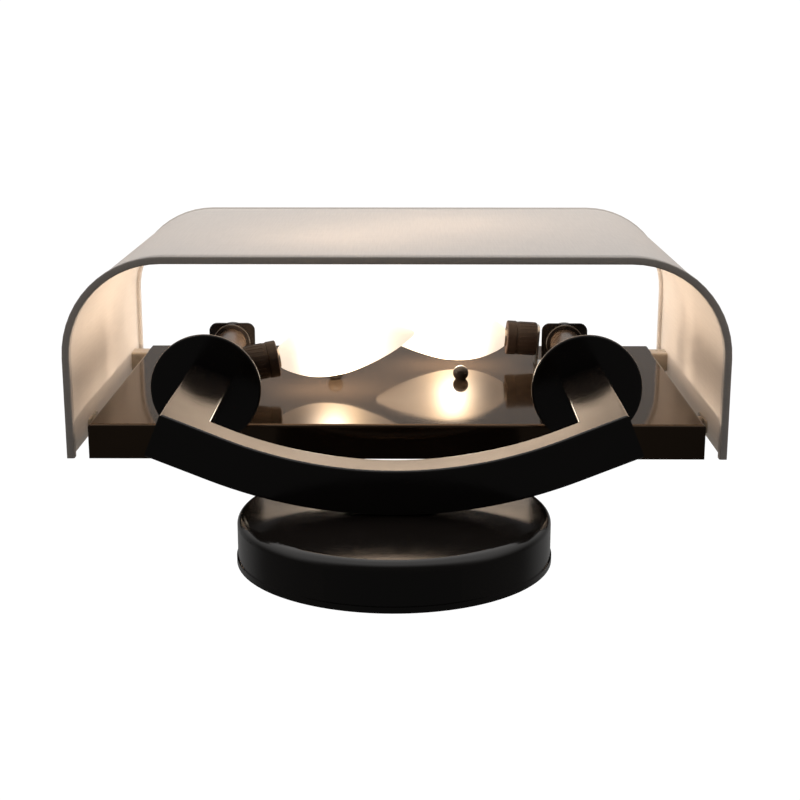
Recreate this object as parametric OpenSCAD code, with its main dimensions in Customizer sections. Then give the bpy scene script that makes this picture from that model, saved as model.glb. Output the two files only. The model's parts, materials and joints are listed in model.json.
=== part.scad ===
// Two-arm wall sconce: a round canopy carries a curved square bar, two arms rise from its ends
// through round discs, and their tubes hold a reflector pan, two candle lamps and a U-shaped shade.
//
// Every piece is drawn lying on its back: x across, y up the wall, z out from the wall, with the
// origin at the middle of the canopy's open side. hang() then turns the piece upright on the wall,
// so in the finished model +Z is up, the wall is the plane y = 0 and the front faces -Y.

/* [Canopy] */
// Outside diameter of the round canopy
canopy_d = 158; // [140:1:180]
// How far the canopy stands out from the wall
canopy_h = 24.2; // [20:0.2:32]
// Radius of the canopy's rounded front edge
canopy_edge_r = 5; // [4:0.5:11]
// Thickness of the canopy's spun sheet
canopy_sheet = 1.2; // [0.8:0.1:1.6]
// Height of the rolled lip at the wall
lip_h = 3; // [2:0.5:5]
// How far the lip stands proud of the canopy's side
lip_step = 0.6; // [0.3:0.1:1]

/* [Bar and arms] */
// Radius of the bar's curve, on its centreline
bar_curve_r = 236; // [225:1:260]
// Half of the angle that the curved bar spans, up to the straight feet of the arms
bar_half_angle = 22; // [19:0.5:24]
// Size of the bar and arms outwards from the curve
bar_h = 23.2; // [19:0.2:25]
// Size of the bar from its lower to its upper face
bar_w = 21; // [18:0.5:25]
// Width of each arm
arm_w = 24; // [21:0.5:26]
// Distance from the middle of the sconce to the axis of each arm
arm_spread = 108.3; // [106:0.1:115]
// Wall of the square tube that the bar and arms are made of
section_wall = 2; // [1.5:0.1:2.5]
// Radius of the long edges of the square tube
section_edge_r = 1.4; // [0.6:0.1:2]
// Thickness of the plate that closes the end of each arm
arm_plate_t = 4; // [3:0.5:6]

/* [Discs and tubes] */
// Height of the discs' lower faces above the middle of the canopy
disc_base = 105.5; // [95:0.5:120]
// Diameter of the round discs
disc_d = 63; // [52:1:72]
// Thickness of the discs
disc_t = 3; // [2:0.5:4]
// Outside diameter of the lamp tubes
tube_d = 19; // [17:0.5:20]
// Wall of the lamp tubes
tube_wall = 1.2; // [1:0.1:1.6]
// Length of the lamp tubes
tube_l = 136.5; // [134:0.5:145]
// Thickness of the end wall of each tube, where it stands on its disc
tube_end_t = 4; // [3:0.5:6]
// Outside diameter of the ring nut at each tube's bracket
ring_d = 24.4; // [22:0.2:28]
// Width of each ring nut, along the tube
ring_w = 4; // [3:0.5:5]

/* [Pan] */
// Gap between the pan's sides and the outside of the shade
pan_side_gap = 14; // [11:0.5:24]
// Height of the pan up the wall
pan_l = 222; // [212:1:232]
// Depth of the pan's folded rim
pan_rim = 20.5; // [17:0.5:24]
// Distance of the pan's front face from the wall
pan_face = 38.6; // [36:0.2:41]
// Gap between the discs and the pan's lower rim
pan_gap = 3.5; // [1:0.5:6]
// Thickness of the pan's sheet
pan_sheet = 1.2; // [0.8:0.1:1.6]
// Outside radius of the pan's folds
pan_fold_r = 2; // [1.6:0.1:3]

/* [Shade] */
// Outside width of the shade
shade_w = 384; // [370:1:400]
// Height of the shade up the wall
shade_l = 237; // [225:1:245]
// Distance of the shade's front from the wall
shade_front = 135.5; // [125:0.5:150]
// Distance of the shade's open edges from the wall
shade_back = 17; // [14:0.5:20]
// Outside radius of the shade's two corners
shade_corner_r = 59; // [45:1:65]
// How far the shade's lower rim stands above the pan's lower rim
shade_lift = 3.5; // [0:0.5:8]
// Thickness of the linen and its backing
shade_skin_t = 1.6; // [1:0.1:2]
// Thickness of the rolled rims
rim_t = 4.6; // [3.4:0.2:5]
// Depth of the rolled rims, up the wall
rim_w = 6; // [4:0.5:9]
// How far the rims stand proud of the outside of the linen
rim_proud = 0.8; // [0.4:0.1:1.2]

/* [Lamps] */
// How far the left lamp's strap is below the tubes' brackets
left_lamp_drop = 49; // [44:0.2:54]
// How far the right lamp's strap is above the tubes' brackets
right_lamp_rise = 34.6; // [28:0.2:42]
// Tilt of the left lamp, tip away from the pan
left_lamp_tilt = 8.5; // [0:0.5:10]
// Tilt of the right lamp, tip away from the pan
right_lamp_tilt = 3.5; // [0:0.5:10]
// Turn of the left lamp on the pan, tip up the wall
left_lamp_turn = 11.5; // [0:0.5:15]
// Turn of the right lamp on the pan, tip up the wall
right_lamp_turn = -1; // [-4:0.5:4]
// Distance from the middle of the sconce to the bends of the lampholder straps
strap_x = 91.5; // [90:0.5:93]
// Height of the left lampholder's axis above the pan, measured along its strap
left_holder_rise = 18.9; // [17.5:0.1:21]
// Height of the right lampholder's axis above the pan, measured along its strap
right_holder_rise = 17.7; // [17.5:0.1:21]
// Outside diameter of the lampholder bodies
holder_d = 22; // [20:0.5:23]
// Length of the lampholder bodies
holder_l = 20; // [19:0.5:22]
// Outside diameter of the lampholders' mouth collars
collar_d = 22.8; // [22:0.2:24]
// Length of the lampholders' mouth collars
collar_l = 6.4; // [5:0.2:8]
// Diameter of the lamps' screw caps
cap_d = 11.7; // [11:0.1:12]
// Length of the lamps' screw caps
cap_l = 13; // [12:0.5:14]
// Greatest diameter of the lamps' glass
bulb_d = 34.5; // [32:0.5:35]
// Length of the lamps' glass, from cap to tip
bulb_l = 87; // [78:1:90]
// Thickness of the lamps' glass
bulb_wall = 0.9; // [0.6:0.1:1.2]

/* [Wall bar] */
// Length of the strap that fastens to the outlet box
wall_bar_l = 112; // [108:1:124]
// Width of the strap that fastens to the outlet box
wall_bar_w = 25; // [20:1:28]
// Thickness of the strap that fastens to the outlet box
wall_bar_t = 2.4; // [2:0.2:3]
// Distance between the middles of its two slots
slot_spacing = 79.4; // [76:0.1:83]
// Length of each slot, end to end
slot_l = 23.9; // [18:0.1:25]
// Width of each slot
slot_w = 4.8; // [4.4:0.1:5.6]
// Diameter of the threaded nipples
nipple_d = 9.7; // [9:0.1:10]
// Diameter of the wire passage through the nipples
nipple_bore = 6.4; // [5:0.1:7]

/* [Hidden] */
$fn = 96;

// Clearance around screws, nipples and other fixed fits
fit_gap = 0.1;
// Clearance around a lamp's cap in its shell
lamp_gap = 0.3;
// Clearance of a ball nut on its stud
thread_gap = 0.05;
// How far cutting tools run past what they cut
overrun = 1;

// Nipple between the wall bar, canopy and bar, and its two nuts
nipple_nut_af = 16;
nipple_nut_t = 3;
wall_bar_corner_r = 5;
boss_d = 17;
boss_t = 5;
nipple_l = canopy_h + section_wall + boss_t;
ground_screw_x = 21;
ground_screw_drop = 7.5;
ground_screw_d = 4;
ground_head_d = 8;
ground_head_t = 2.6;
ground_screw_l = 9;

// Short nipples that clamp the discs between the arms and the tubes
disc_nipple_reach = 7;
disc_edge_flat = 0.3;

// Places that follow from the bar and its arms
bar_centre_z = canopy_h + bar_h / 2 + bar_curve_r;
arc_end_x = bar_curve_r * sin(bar_half_angle);
arc_end_z = bar_centre_z - bar_curve_r * cos(bar_half_angle);
arm_run = (arm_spread - arc_end_x) / cos(bar_half_angle);
arm_z = arc_end_z + arm_run * sin(bar_half_angle);
disc_top = disc_base + disc_t;
disc_edge_r = disc_t / 2 - disc_edge_flat;
tube_r = tube_d / 2;
tube_top = disc_top + tube_l;

// Brackets that stand on the pan and hold the tubes
bracket_w = 29.5;
bracket_t = 2;
bracket_top_r = 5;
bracket_margin = 12.4;
bracket_foot_l = 21;
bracket_back = 8;
bracket_y = tube_top - bracket_back;
bracket_h = arm_z + bracket_margin - pan_face;
left_lamp_y = bracket_y - left_lamp_drop;
right_lamp_y = bracket_y + right_lamp_rise;
ring_wall_gap = fit_gap;
ring_edge_r = 1;
lock_edge_r = 0.5;

// Screws, shared by the brackets, straps and shade
screw_d = 4;
screw_head_d = 7.4;
screw_head_t = 2.4;
screw_dome_r = 5.2;
nut_af = 7;
nut_t = 3;
screw_tail = 1.5;

// Pan, with the carrier strap behind it
pan_w = shade_w - 2 * pan_side_gap;
pan_base = disc_top + pan_gap;
pan_mid_y = pan_base + pan_l / 2;
pan_back = pan_face - pan_rim;
pan_skin_z = pan_face - pan_sheet;
carrier_l = 246;
carrier_w = 26;
carrier_t = 1.6;
carrier_corner_r = 5;
carrier_z = pan_skin_z - carrier_t;
bracket_screw_pitch = 15;
bracket_screw_in = 11.55;
bracket_screw_y = bracket_y - bracket_screw_in;
carrier_y = bracket_screw_y;

// Studs and ball nuts
stud_spread = 40.65;
stud_d = 4.2;
stud_reach = 5;
stud_tail = 7;
ball_d = 10;
ball_neck_d = 6.4;
ball_rise = 3.9;
ball_bore_l = 6;
stud_up = 2.8;
stud_y = carrier_y + stud_up;

// Lampholders and their straps
strap_t = 1.6;
strap_w = 15;
strap_foot_l = 14;
strap_top = 27;
strap_top_r = 4;
strap_screw_out = 8;
bend_steps = 6;
strap_hole_d = 5;
holder_floor = 3;
shell_t = 0.6;
shell_l = 13.5;
shell_d = cap_d + 2 * lamp_gap + 2 * shell_t;
holder_bore = shell_d + 2 * fit_gap;
contact_w = 4;
contact_t = 0.4;
contact_rise = 1.6;
cap_tip_d = 5;
cap_tip_h = 1.8;
cap_taper_h = 1.4;
cap_seat = holder_floor + contact_rise + contact_t + lamp_gap;
cap_wall = 0.4;
glass_start = cap_seat + cap_tip_h + cap_taper_h + cap_l;
glass_seat = 1;

// Outline of the glass: share of its length, share of its greatest radius
bulb_shares = [
    [0, 0.37], [0.02, 0.45], [0.05, 0.555], [0.09, 0.665], [0.13, 0.763], [0.18, 0.86], [0.23, 0.925],
    [0.29, 0.975], [0.35, 0.998], [0.4, 1], [0.47, 0.985], [0.55, 0.92], [0.63, 0.83], [0.71, 0.72],
    [0.79, 0.585], [0.86, 0.443], [0.92, 0.3], [0.96, 0.19], [0.987, 0.1], [1, 0]
];

// Shade, its rims and the posts and blocks that hold it off the pan
shade_base = pan_base + shade_lift;
shade_h = shade_front - shade_back;
shade_skin_face = shade_w / 2 - rim_proud - shade_skin_t;
shade_post_d = 8;
shade_post_pad_l = 26;
shade_post_pad_r = 3;
shade_post_pad_t = 1.2;
shade_post_bore_l = 8;
shade_post_in = 66;
shade_post_set = 4.6;
shade_block_l = 16;
shade_block_w = 13;
shade_block_r = 1.5;
shade_post_place = [pan_base + shade_post_in, pan_back + shade_post_set];
shade_block_place = [
    pan_base + pan_l - pan_fold_r - shade_block_l / 2,
    pan_face - pan_fold_r - shade_block_w / 2
];
shade_screw_l = 7;

SIDES = [-1, 1];

// Finishes
bronze = [0.12, 0.1, 0.09];
pan_bronze = [0.2, 0.17, 0.15];
steel = [0.6, 0.6, 0.6];
brass = [0.75, 0.6, 0.32];
phenolic = [0.16, 0.12, 0.1];
green = [0.2, 0.5, 0.25];
white = [0.85, 0.83, 0.8];
linen = [0.86, 0.84, 0.8];
rim_linen = [0.5, 0.47, 0.44];
frosted = [1, 0.93, 0.82];

// Turns a piece from lying on its back to hanging on the wall
module hang() {
    rotate([90, 0, 0]) children();
}

// Draws a right-hand piece on either side
module on_side(side) {
    if (side < 0) mirror([1, 0, 0]) children();
    else children();
}

// Rectangle centred on the origin, with round corners
module round_rect(w, h, r) {
    square([w - 2 * r, h], center = true);
    square([w, h - 2 * r], center = true);
    for (sx = SIDES, sy = SIDES) translate([sx * (w / 2 - r), sy * (h / 2 - r)]) circle(r);
}

// Slot with round ends, l long from end to end
module slot(l, w) {
    square([l - w, w], center = true);
    for (s = SIDES) translate([s * (l - w) / 2, 0]) circle(d = w);
}

// Rectangle standing on the x axis, with its two upper corners round
module arched_rect(w, h, r) {
    translate([-w / 2, 0]) square([w, h - r]);
    translate([r - w / 2, 0]) square([w - 2 * r, h]);
    for (s = SIDES) translate([s * (w / 2 - r), h - r]) circle(r);
}

// Solid of an outline that faces up the wall, from y = 0 to its length
module up_wall(l) {
    translate([0, l, 0]) rotate([90, 0, 0]) linear_extrude(l) children();
}

// Solid of an outline that faces across the wall, centred on x = 0
module across_wall(l) {
    translate([-l / 2, 0, 0]) rotate([90, 0, 90]) linear_extrude(l) children();
}

// Rod up the wall, from y = 0
module rod_up(d, l) {
    rotate([-90, 0, 0]) cylinder(d = d, h = l);
}

// Hexagonal nut with a round hole, from z = 0
module hex_nut(af, t, bore) {
    difference() {
        cylinder(d = af / cos(30), h = t, $fn = 6);
        translate([0, 0, -overrun]) cylinder(d = bore, h = t + 2 * overrun);
    }
}

// Screw with a domed head from z = 0 upwards and its shank below
module dome_screw(l) {
    translate([0, 0, -l]) cylinder(d = screw_d, h = l + screw_head_t / 2);
    intersection() {
        cylinder(d = screw_head_d, h = screw_head_t);
        translate([0, 0, screw_head_t - screw_dome_r]) sphere(screw_dome_r);
    }
}

// Wall side

module wall_bar() {
    color(steel) hang() difference() {
        linear_extrude(wall_bar_t) difference() {
            round_rect(wall_bar_l, wall_bar_w, wall_bar_corner_r);
            circle(d = nipple_d + 2 * fit_gap);
            for (s = SIDES) translate([s * slot_spacing / 2, 0]) slot(slot_l, slot_w);
            translate([-ground_screw_x, -ground_screw_drop]) circle(d = ground_screw_d + 2 * fit_gap);
        }
    }
}

module ground_screw() {
    color(green) hang() translate([-ground_screw_x, -ground_screw_drop, 0]) {
        translate([0, 0, wall_bar_t]) cylinder(d = ground_head_d, h = ground_head_t, $fn = 6);
        cylinder(d = ground_screw_d, h = wall_bar_t + ground_head_t);
    }
}

module centre_nipple() {
    color(brass) hang() difference() {
        cylinder(d = nipple_d, h = nipple_l);
        translate([0, 0, -overrun]) cylinder(d = nipple_bore, h = nipple_l + 2 * overrun);
    }
}

module wall_bar_nut() {
    color(brass) hang() translate([0, 0, wall_bar_t])
        hex_nut(nipple_nut_af, nipple_nut_t, nipple_d + 2 * thread_gap);
}

module canopy_outline(r, h, edge) {
    square([r - edge, h]);
    square([r, h - edge]);
    translate([r - edge, h - edge]) circle(edge);
}

module canopy() {
    color(bronze) hang() rotate_extrude() difference() {
        union() {
            intersection() {
                canopy_outline(canopy_d / 2, canopy_h, canopy_edge_r);
                square([canopy_d, canopy_h]);
            }
            square([canopy_d / 2 + lip_step, lip_h]);
        }
        translate([0, -overrun]) intersection() {
            canopy_outline(canopy_d / 2 - canopy_sheet, canopy_h - canopy_sheet + overrun,
                           canopy_edge_r - canopy_sheet);
            square([canopy_d, canopy_h + overrun]);
        }
        translate([0, -overrun]) square([nipple_d / 2 + fit_gap, canopy_h + 2 * overrun]);
    }
}

module canopy_nut() {
    color(brass) hang() translate([0, 0, canopy_h - canopy_sheet - nipple_nut_t])
        hex_nut(nipple_nut_af, nipple_nut_t, nipple_d + 2 * thread_gap);
}

// Curved bar of square tube, with an arm welded to each end

module bar_solid(inset, edge_r) {
    translate([0, 0, bar_centre_z]) rotate([90, 0, 0]) rotate([0, 0, -90 - bar_half_angle])
        rotate_extrude(angle = 2 * bar_half_angle, $fn = 180)
            translate([bar_curve_r, 0]) round_rect(bar_h - 2 * inset, bar_w - 2 * inset, edge_r);
}

module bar() {
    color(bronze) hang() difference() {
        union() {
            difference() {
                bar_solid(0, section_edge_r);
                bar_solid(section_wall, section_edge_r / 2);
            }
            translate([0, 0, canopy_h + section_wall / 2])
                cylinder(d = boss_d, h = boss_t + section_wall / 2);
        }
        cylinder(d = nipple_d + 2 * fit_gap, h = canopy_h + section_wall + boss_t + overrun);
    }
}

// L-shaped solid of an arm from where it meets the bar: a foot along x, then up to y_stop
module arm_solid(inset, edge_r, foot_start, y_stop) {
    sec_h = bar_h - 2 * inset;
    sec_w = bar_w - 2 * inset;
    sec_arm = arm_w - 2 * inset;
    foot_l = arm_run + sec_arm / 2;
    translate([foot_start, 0, 0]) rotate([90, 0, 90]) linear_extrude(arm_run - foot_start)
        round_rect(sec_w, sec_h, edge_r);
    translate([arm_run, 0, 0]) up_wall(y_stop) round_rect(sec_arm, sec_h, edge_r);
    intersection() {
        rotate([90, 0, 90]) linear_extrude(foot_l) round_rect(sec_w, sec_h, edge_r);
        translate([arm_run, -sec_w / 2, 0]) up_wall(sec_w) round_rect(sec_arm, sec_h, edge_r);
    }
}

module arm(side) {
    color(bronze) hang() on_side(side) difference() {
        translate([arc_end_x, 0, arc_end_z]) rotate([0, -bar_half_angle, 0]) difference() {
            arm_solid(0, section_edge_r, 0, disc_base);
            arm_solid(section_wall, section_edge_r / 2, -overrun, disc_base - arm_plate_t);
        }
        translate([arm_spread, disc_base - arm_plate_t - overrun, arm_z])
            rod_up(nipple_d + 2 * fit_gap, arm_plate_t + 2 * overrun);
    }
}

// Discs, tubes and brackets

module disc(side) {
    color(bronze) hang() translate([side * arm_spread, disc_base, arm_z]) rotate([-90, 0, 0])
        rotate_extrude() difference() {
            union() {
                square([disc_d / 2 - disc_edge_r, disc_t]);
                translate([0, disc_edge_r]) square([disc_d / 2, disc_t - 2 * disc_edge_r]);
                for (y = [disc_edge_r, disc_t - disc_edge_r])
                    translate([disc_d / 2 - disc_edge_r, y]) circle(disc_edge_r);
            }
            translate([0, -overrun]) square([nipple_d / 2 + fit_gap, disc_t + 2 * overrun]);
        }
}

module disc_nipple(side) {
    nipple_run = disc_t + 2 * disc_nipple_reach;
    color(brass) hang() translate([side * arm_spread, disc_base - disc_nipple_reach, arm_z]) difference() {
        rod_up(nipple_d, nipple_run);
        translate([0, -overrun, 0]) rod_up(nipple_bore, nipple_run + 2 * overrun);
    }
}

module tube(side) {
    color(pan_bronze) hang() translate([side * arm_spread, disc_top, arm_z]) difference() {
        rod_up(tube_d, tube_l);
        translate([0, tube_end_t, 0]) rod_up(tube_d - 2 * tube_wall, tube_l);
        translate([0, -overrun, 0]) rod_up(nipple_d + 2 * fit_gap, tube_end_t + 2 * overrun);
    }
}

// Ring round a tube: the rounded one in front of the bracket and the plain one behind it
module tube_ring(side, y, edge) {
    color(bronze) hang() translate([side * arm_spread, y, arm_z]) rotate([-90, 0, 0])
        rotate_extrude() translate([tube_r + ring_wall_gap, 0]) {
            ring_wall = (ring_d - tube_d) / 2 - ring_wall_gap;
            translate([0, edge]) square([ring_wall, ring_w - edge]);
            square([ring_wall - edge, ring_w]);
            translate([ring_wall - edge, edge]) circle(edge);
        }
}

// Sheet angle: a foot along -y from the bend and an upright along z
module sheet_angle(foot, upright, t, w, top_r) {
    translate([-w / 2, -foot, 0]) cube([w, foot, t]);
    translate([0, t, 0]) rotate([90, 0, 0]) linear_extrude(t) arched_rect(w, upright, top_r);
}

module bracket(side) {
    color(bronze) hang() translate([side * arm_spread, bracket_y, pan_face]) difference() {
        sheet_angle(bracket_foot_l, bracket_h, bracket_t, bracket_w, bracket_top_r);
        translate([0, -overrun, arm_z - pan_face]) rod_up(tube_d + 2 * fit_gap, bracket_t + 2 * overrun);
        for (s = SIDES) translate([s * bracket_screw_pitch / 2, bracket_screw_y - bracket_y, -overrun])
            cylinder(d = screw_d + 2 * fit_gap, h = bracket_t + 2 * overrun);
    }
}

// Places of the four bracket screws
module at_bracket_screws() {
    for (side = SIDES, s = SIDES)
        translate([side * arm_spread + s * bracket_screw_pitch / 2, bracket_screw_y, 0]) children();
}

module bracket_screws() {
    grip = bracket_t + pan_sheet + carrier_t + nut_t + screw_tail;
    color(steel) hang() at_bracket_screws() translate([0, 0, pan_face + bracket_t]) dome_screw(grip);
}

module bracket_nuts() {
    color(steel) hang() at_bracket_screws() translate([0, 0, carrier_z - nut_t])
        hex_nut(nut_af, nut_t, screw_d + 2 * thread_gap);
}

// Pan and what holds it

module tray(w, l, h, r) {
    intersection() {
        translate([0, -l / 2, 0]) up_wall(l) arched_rect(w, h, r);
        across_wall(w) arched_rect(l, h, r);
    }
}

module pan() {
    hole_d = screw_d + 2 * fit_gap;
    color(pan_bronze) hang() difference() {
        translate([0, pan_mid_y, pan_back]) difference() {
            tray(pan_w, pan_l, pan_rim, pan_fold_r);
            translate([0, 0, -overrun])
                tray(pan_w - 2 * pan_sheet, pan_l - 2 * pan_sheet, pan_rim - pan_sheet + overrun,
                     pan_fold_r - pan_sheet);
        }
        translate([0, 0, pan_skin_z - overrun]) {
            at_bracket_screws() cylinder(d = hole_d, h = pan_sheet + 2 * overrun);
            at_strap_screws() cylinder(d = hole_d, h = pan_sheet + 2 * overrun);
            for (s = SIDES) translate([s * stud_spread, stud_y, 0])
                cylinder(d = stud_d + 2 * fit_gap, h = pan_sheet + 2 * overrun);
        }
        at_shade_posts() translate([0, 0, -pan_sheet - overrun])
            cylinder(d = hole_d, h = pan_sheet + 2 * overrun);
    }
}

module carrier_strap() {
    color(steel) hang() translate([0, 0, carrier_z]) difference() {
        translate([0, carrier_y, 0]) linear_extrude(carrier_t)
            round_rect(carrier_l, carrier_w, carrier_corner_r);
        translate([0, 0, -overrun]) {
            at_bracket_screws() cylinder(d = screw_d + 2 * fit_gap, h = carrier_t + 2 * overrun);
            for (s = SIDES) translate([s * stud_spread, stud_y, 0])
                cylinder(d = stud_d + 2 * fit_gap, h = carrier_t + 2 * overrun);
        }
    }
}

module pan_studs() {
    color(steel) hang() for (s = SIDES) translate([s * stud_spread, stud_y, carrier_z - stud_tail])
        cylinder(d = stud_d, h = stud_tail + carrier_t + pan_sheet + stud_reach);
}

module stud_nuts() {
    color(steel) hang() for (s = SIDES) translate([s * stud_spread, stud_y, carrier_z - nut_t])
        hex_nut(nut_af, nut_t, stud_d + 2 * thread_gap);
}

module ball_nut(side) {
    color(bronze) hang() translate([side * stud_spread, stud_y, pan_face]) difference() {
        union() {
            cylinder(d = ball_neck_d, h = ball_rise);
            intersection() {
                translate([0, 0, ball_rise]) sphere(d = ball_d);
                cylinder(d = ball_d + 2 * overrun, h = ball_d);
            }
        }
        translate([0, 0, -overrun]) cylinder(d = stud_d + 2 * thread_gap, h = ball_bore_l + overrun);
    }
}

// Lampholders, each on a bent strap screwed to the pan

function lamp_y(side) = side < 0 ? left_lamp_y : right_lamp_y;
function lamp_tilt(side) = side < 0 ? left_lamp_tilt : right_lamp_tilt;
function lamp_turn(side) = side < 0 ? left_lamp_turn : right_lamp_turn;
function holder_rise(side) = side < 0 ? left_holder_rise : right_holder_rise;

// Bend of a strap on the pan, with x outwards from the middle of the sconce
module at_strap(side) {
    translate([side * strap_x, lamp_y(side), pan_face])
        rotate([0, 0, side < 0 ? 180 + lamp_turn(side) : -lamp_turn(side)]) children();
}

// A lamp's axis, along z from the face of its strap towards the middle of the sconce
module at_lamp(side) {
    at_strap(side) rotate([0, lamp_tilt(side), 0]) translate([0, 0, holder_rise(side)])
        rotate([0, -90, 0]) children();
}

module at_strap_screws() {
    for (side = SIDES)
        at_strap(side) translate([strap_t + strap_screw_out, 0, -pan_face]) children();
}

// Bent sheet: the foot and the rounded bend stand on the pan, the upright leans by the lamp's tilt
module strap_sheet(tilt) {
    bend = strap_t * (1 + sin(tilt)) / cos(tilt);
    foot_end = bend + strap_foot_l;
    up = [sin(tilt), cos(tilt)];
    out = [cos(tilt), -sin(tilt)];
    top = (strap_top + overrun) * up;
    arc = [
        for (i = [0:bend_steps]) let (a = 270 - (90 + tilt) * i / bend_steps)
            [bend, strap_t] + strap_t * [cos(a), sin(a)]
    ];
    inner_face = [top, top + strap_t * out, [bend, strap_t], [foot_end, strap_t]];
    intersection() {
        translate([0, strap_w, 0]) rotate([90, 0, 0]) linear_extrude(2 * strap_w)
            polygon(concat([[foot_end, 0]], arc, inner_face));
        rotate([0, tilt, 0]) translate([-overrun, 0, -overrun]) rotate([90, 0, 90])
            linear_extrude(foot_end + 2 * overrun) arched_rect(strap_w, strap_top + overrun, strap_top_r);
    }
}

module strap(side) {
    color(steel) hang() difference() {
        at_strap(side) strap_sheet(lamp_tilt(side));
        at_lamp(side) translate([0, 0, -strap_t - overrun])
            cylinder(d = strap_hole_d, h = strap_t + 2 * overrun);
        at_strap(side) translate([strap_t + strap_screw_out, 0, -overrun])
            cylinder(d = screw_d + 2 * fit_gap, h = strap_t + 2 * overrun);
    }
}

module strap_screws() {
    color(steel) hang() at_strap_screws() translate([0, 0, pan_face + strap_t])
        dome_screw(strap_t + pan_sheet + nut_t + screw_tail);
}

module strap_nuts() {
    color(steel) hang() at_strap_screws() translate([0, 0, pan_skin_z - nut_t])
        hex_nut(nut_af, nut_t, screw_d + 2 * thread_gap);
}

module lampholder(side) {
    color(phenolic) hang() at_lamp(side) rotate_extrude() difference() {
        union() {
            square([holder_d / 2, holder_l]);
            translate([0, holder_l - collar_l]) square([collar_d / 2, collar_l]);
        }
        translate([0, holder_floor]) square([holder_bore / 2, holder_l]);
        translate([0, -overrun]) square([strap_hole_d / 2, holder_l]);
    }
}

module screw_shell(side) {
    color(brass) hang() at_lamp(side) translate([0, 0, holder_floor + contact_rise]) difference() {
        cylinder(d = shell_d, h = shell_l);
        translate([0, 0, -overrun]) cylinder(d = shell_d - 2 * shell_t, h = shell_l + 2 * overrun);
    }
}

// Spring leaf on the lampholder's floor, with its middle raised to meet the lamp
module contact(side) {
    reach = strap_hole_d / 2 + contact_rise;
    color(brass) hang() at_lamp(side) translate([0, contact_w / 2, holder_floor]) rotate([90, 0, 0])
        linear_extrude(contact_w) polygon([
            [-reach, 0], [-reach + contact_rise, 0], [-contact_rise / 2, contact_rise],
            [contact_rise / 2, contact_rise], [reach - contact_rise, 0], [reach, 0],
            [reach, contact_t], [reach - contact_rise + contact_t / 2, contact_t],
            [contact_rise / 2 + contact_t / 2, contact_rise + contact_t],
            [-contact_rise / 2 - contact_t / 2, contact_rise + contact_t],
            [-reach + contact_rise - contact_t / 2, contact_t], [-reach, contact_t]
        ]);
}

module bulb_cap(side) {
    color(brass) hang() at_lamp(side) translate([0, 0, cap_seat]) rotate_extrude() difference() {
        union() {
            square([cap_tip_d / 2, cap_tip_h]);
            polygon([
                [0, cap_tip_h], [cap_tip_d / 2, cap_tip_h], [cap_d / 2, cap_tip_h + cap_taper_h],
                [cap_d / 2, cap_tip_h + cap_taper_h + cap_l], [0, cap_tip_h + cap_taper_h + cap_l]
            ]);
        }
        translate([0, cap_tip_h + cap_taper_h]) square([cap_d / 2 - cap_wall, cap_l + overrun]);
    }
}

// Glass from the inside of the cap to the tip: a neck in the cap, then the swelling envelope
module bulb_glass(side) {
    neck_r = cap_d / 2 - cap_wall - fit_gap;
    neck_l = cap_l - glass_seat;
    color(frosted) hang() at_lamp(side) translate([0, 0, glass_start]) rotate_extrude() difference() {
        union() {
            translate([0, -neck_l]) square([neck_r, neck_l + bulb_l * bulb_shares[1][0]]);
            polygon(concat([[0, 0]], [for (p = bulb_shares) [bulb_d / 2 * p[1], bulb_l * p[0]]]));
        }
        union() {
            translate([0, -neck_l - overrun])
                square([neck_r - bulb_wall, neck_l + bulb_l * bulb_shares[1][0] + 2 * overrun]);
            polygon(concat(
                [[0, bulb_wall]],
                [for (p = bulb_shares) [max(bulb_d / 2 * p[1] - bulb_wall, 0),
                                        bulb_wall + (bulb_l - 2 * bulb_wall) * p[0]]]
            ));
        }
    }
}

// Shade

// U of the shade: inset is the distance from the rims' outer face, t the wall's thickness
module shade_outline(inset, t) {
    difference() {
        arched_rect(shade_w - 2 * inset, shade_h - inset, shade_corner_r - inset);
        translate([0, -overrun])
            arched_rect(shade_w - 2 * inset - 2 * t, shade_h - inset - t + overrun,
                        shade_corner_r - inset - t);
    }
}

module shade_skin() {
    color(linen) hang() translate([0, shade_base + rim_w, shade_back]) up_wall(shade_l - 2 * rim_w)
        shade_outline(rim_proud, shade_skin_t);
}

module shade_rim(y) {
    color(rim_linen) hang() translate([0, y, shade_back]) up_wall(rim_w) shade_outline(0, rim_t);
}

// Both places of a pair on the pan's sides, with z outwards and x towards the pan's back
module at_pan_sides(place) {
    for (s = SIDES) translate([s * pan_w / 2, place[0], place[1]])
        rotate([0, s * 90, 0]) children();
}

// Places of the lower pair of posts and the upper pair of blocks
module at_shade_posts() {
    at_pan_sides(shade_post_place) children();
    at_pan_sides(shade_block_place) children();
}

// Threaded hole for a screw through the pan's side
module shade_post_bore() {
    translate([0, 0, -overrun]) cylinder(d = screw_d + 2 * fit_gap, h = shade_post_bore_l + overrun);
}

module shade_posts() {
    post_l = shade_skin_face - pan_w / 2;
    color(white) hang() at_pan_sides(shade_post_place) difference() {
        union() {
            cylinder(d = shade_post_d, h = post_l);
            translate([0, 0, post_l - shade_post_pad_t]) linear_extrude(shade_post_pad_t)
                round_rect(shade_post_d, shade_post_pad_l, shade_post_pad_r);
        }
        shade_post_bore();
    }
}

module shade_blocks() {
    color(white) hang() at_pan_sides(shade_block_place) difference() {
        linear_extrude(shade_skin_face - pan_w / 2)
            round_rect(shade_block_w, shade_block_l, shade_block_r);
        shade_post_bore();
    }
}

module shade_screws() {
    color(steel) hang() at_shade_posts() translate([0, 0, -pan_sheet]) rotate([180, 0, 0])
        dome_screw(pan_sheet + shade_screw_l);
}

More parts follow.
